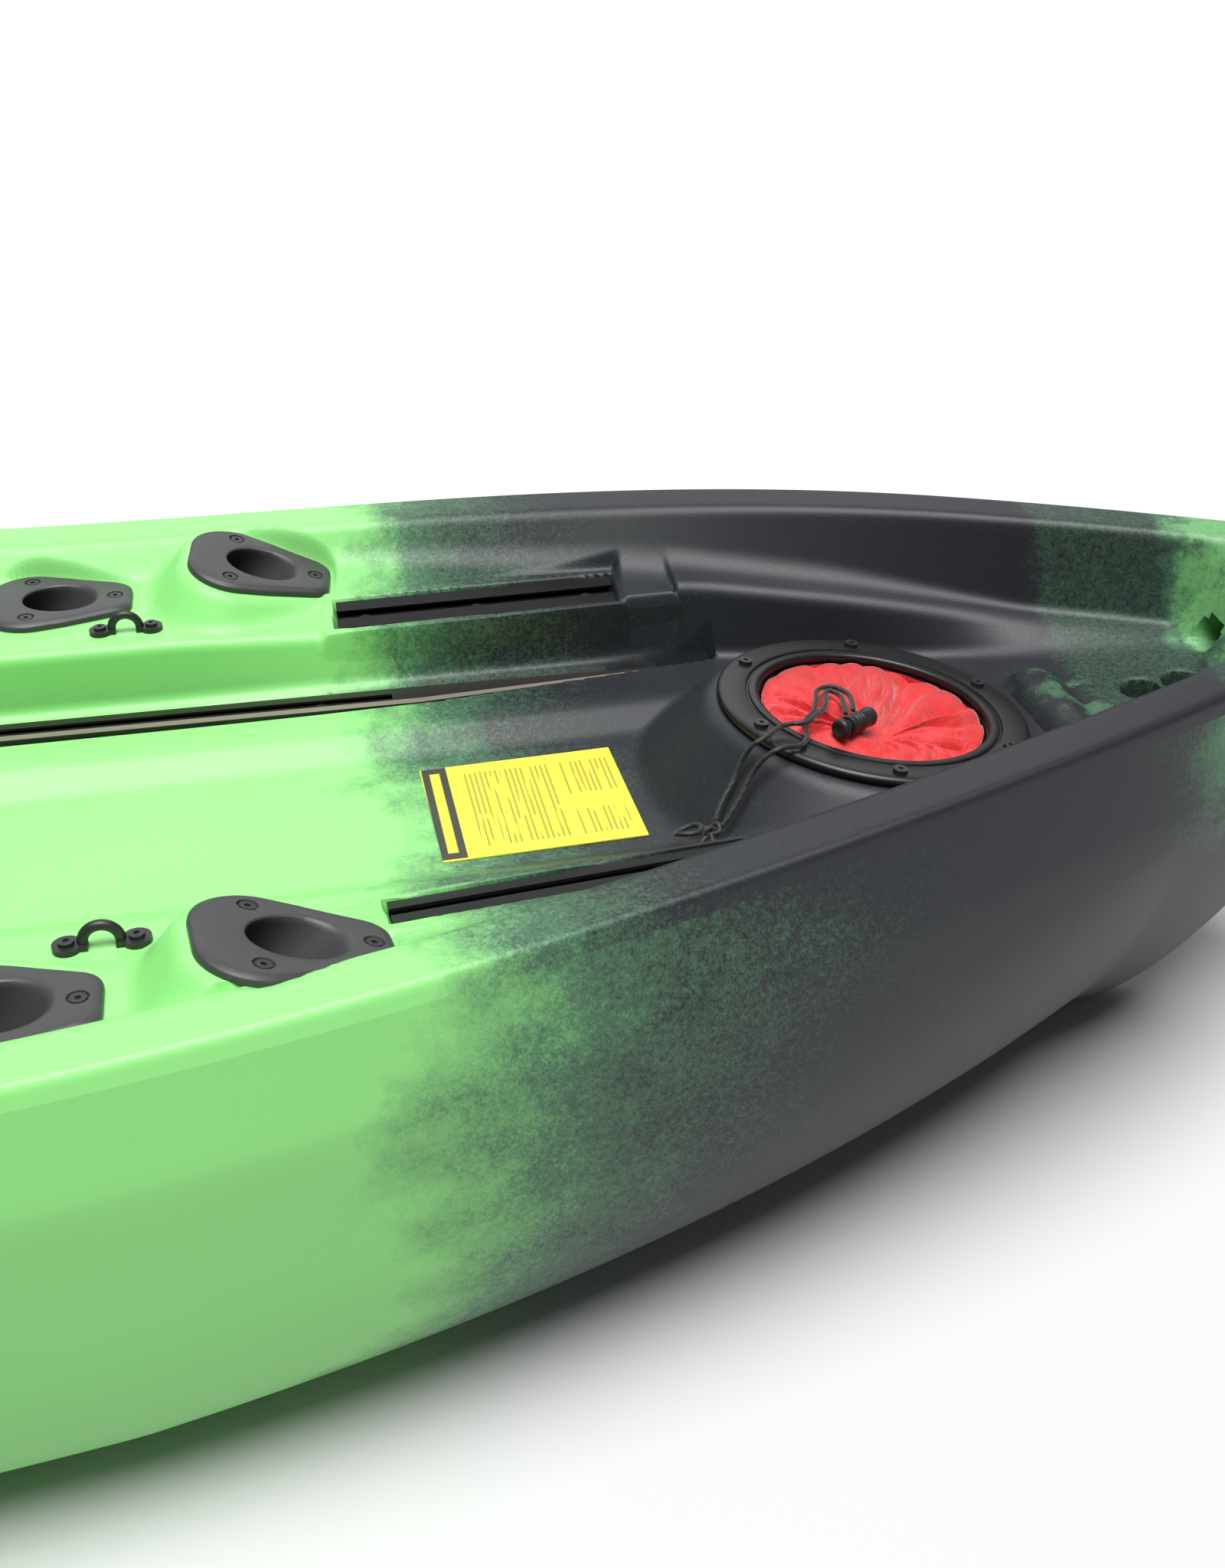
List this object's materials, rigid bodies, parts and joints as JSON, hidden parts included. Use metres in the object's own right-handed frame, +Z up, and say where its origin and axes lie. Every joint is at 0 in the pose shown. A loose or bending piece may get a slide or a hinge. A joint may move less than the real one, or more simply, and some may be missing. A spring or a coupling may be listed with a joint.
{
  "type": "canoe",
  "caption": "Wide double-skinned recreational canoe with stepped cockpit, flush rod holders, seat and gear rails, and a stern hatch with a drawcord bag.",
  "frame": {"origin": "on the ground under the keel's flat, at mid-length on the centreline", "axes": "+X to the bow, +Y to port, +Z up"},
  "size_m": [3.35, 0.76, 0.3725],
  "materials": {
    "hull": "speckled, low sheen",
    "liner": "speckled lime fading to charcoal",
    "black_plastic": "fine satin grain",
    "rail": "dark anodised satin",
    "screws": "stainless, satin",
    "gasket": "closed-cell foam, matte",
    "bag": "coated nylon, soft sheen",
    "cord": "braided",
    "spring": "bright wire",
    "bail": "dark anodised satin",
    "grip": "matte, moulded",
    "plate": "printed plate, satin"
  },
  "bodies": {
    "hull": {"hull_skin": "hull", "deck_liner": "liner", "seat_rail_port": "rail", "seat_rail_starboard": "rail", "seat_rail_screws": "screws", "gear_track_port": "rail", "gear_track_starboard": "rail", "gear_track_screws": "screws", "rod_holder_port_aft": "black_plastic", "rod_holder_starboard_aft": "black_plastic", "rod_holder_port_mid": "black_plastic", "rod_holder_starboard_mid": "black_plastic", "rod_holder_screws": "screws", "pad_eye_port": "black_plastic", "pad_eye_starboard": "black_plastic", "pad_eye_screws": "screws", "hatch_ring": "black_plastic", "hatch_gasket": "gasket", "hatch_screws": "screws", "hatch_bag": "bag", "drawcord_long": "cord", "drawcord_short": "cord", "drawcord_knot": "cord", "cord_lock_barrel": "black_plastic", "cord_lock_spring": "spring", "skid_plate": "black_plastic", "skid_plate_screws": "screws", "drain_bezel": "black_plastic", "bow_handle_mount": "black_plastic", "stern_handle_mount": "black_plastic", "handle_screws": "screws", "info_plate": "plate"},
    "lock_button": {"cord_lock_button": "black_plastic"},
    "drain_gasket": {"drain_oring": "gasket"},
    "drain_plug": {"drain_plug": "black_plastic"},
    "bow_handle": {"bow_handle_bail": "bail", "bow_handle_grip": "grip"},
    "stern_handle": {"stern_handle_bail": "bail", "stern_handle_grip": "grip"}
  },
  "joints": [
    {"name": "cord_lock_press", "type": "slide", "parent": "hull", "child": "lock_button", "axis": [-0.8104, -0.578, -0.0958], "range_m": [0, 0.004], "stiffness_N_per_m": 200, "springref_m": -0.002},
    {"name": "drain_lift", "type": "slide", "parent": "hull", "child": "drain_gasket", "axis": [0, 0, 1], "range_m": [0, 0.009]},
    {"name": "drain_turn", "type": "hinge", "parent": "drain_gasket", "child": "drain_plug", "pos_m": [1.44, 0, 0.355], "axis": [0, 0, 1], "range_deg": [0, 1080]},
    {"name": "bow_handle_lift", "type": "hinge", "parent": "hull", "child": "bow_handle", "pos_m": [1.545, 0, 0.364], "axis": [0, -1, 0], "range_deg": [0, 110]},
    {"name": "stern_handle_lift", "type": "hinge", "parent": "hull", "child": "stern_handle", "pos_m": [-1.57, 0, 0.34], "axis": [0, 1, 0], "range_deg": [0, 110]}
  ],
  "couplings": [
    {"joint": "drain_turn", "follows": "drain_lift", "rad_per_m": 2094.4}
  ]
}
